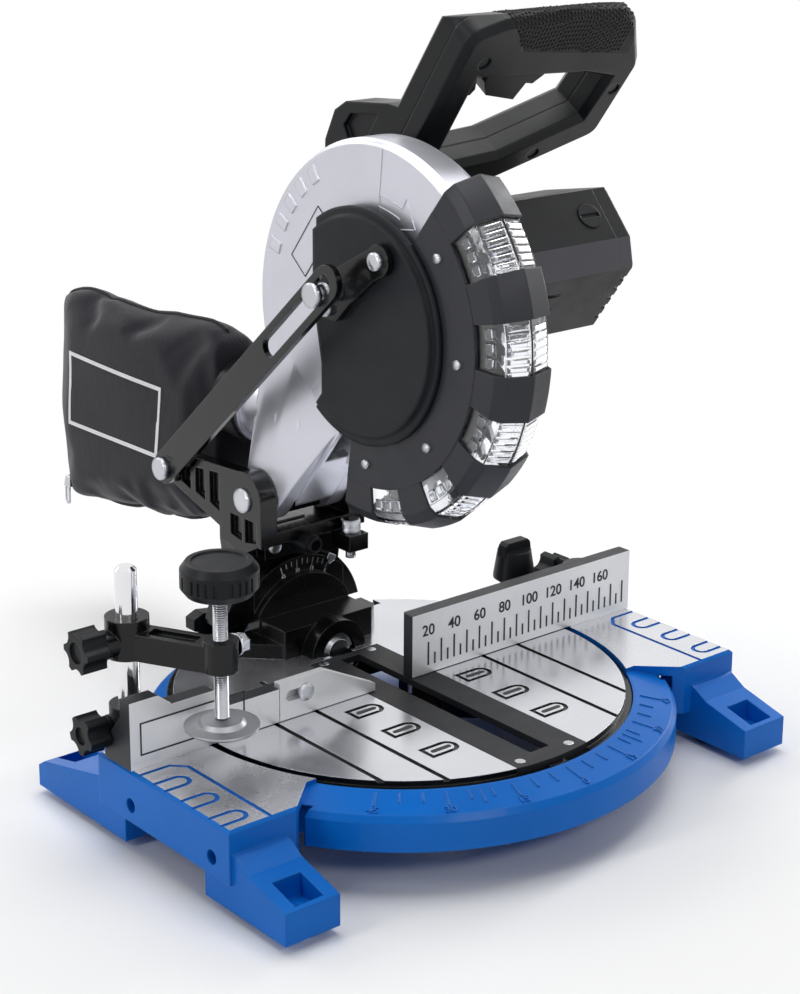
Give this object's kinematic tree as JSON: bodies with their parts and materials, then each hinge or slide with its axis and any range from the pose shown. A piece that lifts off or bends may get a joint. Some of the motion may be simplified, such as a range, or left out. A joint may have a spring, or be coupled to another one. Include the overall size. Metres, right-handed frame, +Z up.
{
  "type": "compound mitre saw",
  "caption": "Compound mitre saw with turntable base, tilting arm, spring-up chop head, linked swing guard, work clamp and dust bag.",
  "frame": {"origin": "turntable axis at the level of the bench", "axes": "+X right along the fence, +Y to the rear, +Z up, head raised and every other joint at rest"},
  "size_m": [0.387, 0.516, 0.4322],
  "materials": {
    "blue_paint": "gloss",
    "foot_rubber": "matte",
    "fence_metal": "satin",
    "zinc_steel": "satin",
    "black_plastic": "satin",
    "grey_plastic": "satin",
    "table_metal": "machined",
    "black_paint": "gloss",
    "head_metal": "metallic paint",
    "clear_plastic": "clear",
    "lens_glass": "clear",
    "blade_steel": "ground",
    "bag_fabric": "woven",
    "post_chrome": "polished"
  },
  "bodies": {
    "base": {"base_casting": "blue_paint", "rubber_feet": "foot_rubber", "fence_left": "fence_metal", "fence_right": "fence_metal", "fence_bolts": "zinc_steel", "slide_screw": "zinc_steel"},
    "sliding_fence": {"sliding_fence": "fence_metal"},
    "post_lock_left": {"post_lock_left": "black_plastic"},
    "post_lock_right": {"post_lock_right": "black_plastic"},
    "mitre_lock": {"mitre_lock_knob": "black_plastic"},
    "turntable": {"turntable": "table_metal", "pivot_bolt": "zinc_steel", "kerf_plate": "black_plastic", "kerf_screws": "zinc_steel", "mitre_pointer": "zinc_steel", "bevel_bolt": "zinc_steel"},
    "bevel_lever": {"bevel_lever": "black_plastic"},
    "tilt_arm": {"tilt_arm": "black_paint", "bevel_pointer": "zinc_steel", "head_shaft": "zinc_steel", "return_spring": "zinc_steel", "laser_module": "black_plastic", "laser_lens": "lens_glass", "arm_screws": "zinc_steel", "link_bolt": "zinc_steel"},
    "guard_link": {"guard_link": "black_paint"},
    "head": {"head_casting": "head_metal", "gear_case": "grey_plastic", "motor_housing": "black_plastic", "motor_cap": "grey_plastic", "brush_caps": "black_plastic", "stator": "zinc_steel", "bearings": "zinc_steel", "handle_lower": "black_plastic", "handle_upper": "black_plastic", "grip": "foot_rubber", "trigger_switch": "black_plastic", "handle_screws": "zinc_steel", "cord_gland": "foot_rubber", "dust_collar": "black_plastic", "dust_bag": "bag_fabric"},
    "guard": {"guard_plate": "grey_plastic", "guard_frame": "grey_plastic", "guard_window": "clear_plastic", "guard_bracket": "black_paint", "guard_screws": "zinc_steel"},
    "blade": {"arbor": "zinc_steel", "blade": "blade_steel", "blade_flanges": "zinc_steel", "blade_bolt": "zinc_steel"},
    "armature": {"armature": "zinc_steel"},
    "spindle_button": {"spindle_button": "black_plastic"},
    "trigger": {"trigger": "black_plastic"},
    "lock_off": {"lock_off": "black_plastic"},
    "clamp_post": {"clamp_post": "post_chrome"},
    "clamp_arm": {"clamp_arm": "black_paint", "clamp_bolt": "zinc_steel"},
    "clamp_knob": {"clamp_knob": "black_plastic"},
    "clamp_pad": {"clamp_pad": "zinc_steel"},
    "clamp_spindle": {"clamp_spindle": "zinc_steel"}
  },
  "joints": [
    {"name": "mitre", "type": "hinge", "parent": "base", "child": "turntable", "pos_m": [0, 0, 0.05], "axis": [0, 0, 1], "range_deg": [-45, 45]},
    {"name": "bevel", "type": "hinge", "parent": "turntable", "child": "tilt_arm", "pos_m": [0, 0.112, 0.05], "axis": [0, 1, 0], "range_deg": [-37, 0]},
    {"name": "bevel_lever", "type": "hinge", "parent": "turntable", "child": "bevel_lever", "pos_m": [0, 0.129, 0.05], "axis": [0, 1, 0], "range_deg": [0, 40]},
    {"name": "chop", "type": "hinge", "parent": "tilt_arm", "child": "head", "pos_m": [0, 0.098, 0.143], "axis": [1, 0, 0], "range_deg": [0, 55], "stiffness_Nm_per_rad": 16, "springref_deg": -75},
    {"name": "guard_swing", "type": "hinge", "parent": "head", "child": "guard", "pos_m": [0, 0.01, 0.263], "axis": [1, 0, 0], "range_deg": [-110, 0]},
    {"name": "link_swing", "type": "hinge", "parent": "tilt_arm", "child": "guard_link", "pos_m": [-0.0452, 0.172, 0.146], "axis": [1, 0, 0], "range_deg": [0, 42]},
    {"name": "blade_spin", "type": "hinge", "parent": "head", "child": "blade", "pos_m": [0, 0.01, 0.263], "axis": [1, 0, 0], "continuous": true},
    {"name": "motor_spin", "type": "hinge", "parent": "head", "child": "armature", "pos_m": [0, 0.00212, 0.28725], "axis": [1, 0, 0], "continuous": true},
    {"name": "spindle_press", "type": "slide", "parent": "head", "child": "spindle_button", "axis": [0, 0, 1], "range_m": [0, 0.002], "stiffness_N_per_m": 400, "springref_m": -0.002},
    {"name": "trigger_pull", "type": "hinge", "parent": "head", "child": "trigger", "pos_m": [0.069, 0.00355, 0.40342], "axis": [0, -0.8192, -0.5736], "range_deg": [0, 4], "stiffness_Nm_per_rad": 0.5, "springref_deg": -10},
    {"name": "lock_off_slide", "type": "slide", "parent": "head", "child": "lock_off", "axis": [-1, 0, 0], "range_m": [0, 0.004], "stiffness_N_per_m": 200, "springref_m": -0.002},
    {"name": "fence_slide", "type": "slide", "parent": "base", "child": "sliding_fence", "axis": [1, 0, 0], "range_m": [0, 0.01]},
    {"name": "post_lock_left_turn", "type": "hinge", "parent": "base", "child": "post_lock_left", "pos_m": [-0.19, 0.024, 0.065], "axis": [-1, 0, 0], "range_deg": [0, 180]},
    {"name": "post_lock_right_turn", "type": "hinge", "parent": "base", "child": "post_lock_right", "pos_m": [0.169, 0.044, 0.065], "axis": [0, 1, 0], "range_deg": [0, 180]},
    {"name": "mitre_lock_turn", "type": "hinge", "parent": "base", "child": "mitre_lock", "pos_m": [0.123, 0.036, 0.08], "axis": [0, 0, 1], "range_deg": [0, 120]},
    {"name": "clamp_swivel", "type": "hinge", "parent": "base", "child": "clamp_post", "pos_m": [-0.169, 0.024, 0.1], "axis": [0, 0, 1], "range_deg": [-40, 3]},
    {"name": "clamp_height", "type": "slide", "parent": "clamp_post", "child": "clamp_arm", "axis": [0, 0, 1], "range_m": [-0.012, 0.024]},
    {"name": "clamp_knob_turn", "type": "hinge", "parent": "clamp_arm", "child": "clamp_knob", "pos_m": [-0.19, 0.024, 0.1125], "axis": [-1, 0, 0], "range_deg": [0, 180]},
    {"name": "clamp_press", "type": "slide", "parent": "clamp_arm", "child": "clamp_pad", "axis": [0, 0, -1], "range_m": [-0.018, 0.018]},
    {"name": "clamp_screw", "type": "hinge", "parent": "clamp_pad", "child": "clamp_spindle", "pos_m": [-0.143, -0.025, 0.15], "axis": [0, 0, -1], "range_deg": [-5200, 5200]}
  ],
  "couplings": [
    {"joint": "guard_swing", "follows": "chop", "ratio": -2},
    {"joint": "link_swing", "follows": "chop", "ratio": 0.76},
    {"joint": "motor_spin", "follows": "blade_spin", "ratio": -4.6667},
    {"joint": "clamp_screw", "follows": "clamp_press", "rad_per_m": 5026.5}
  ]
}
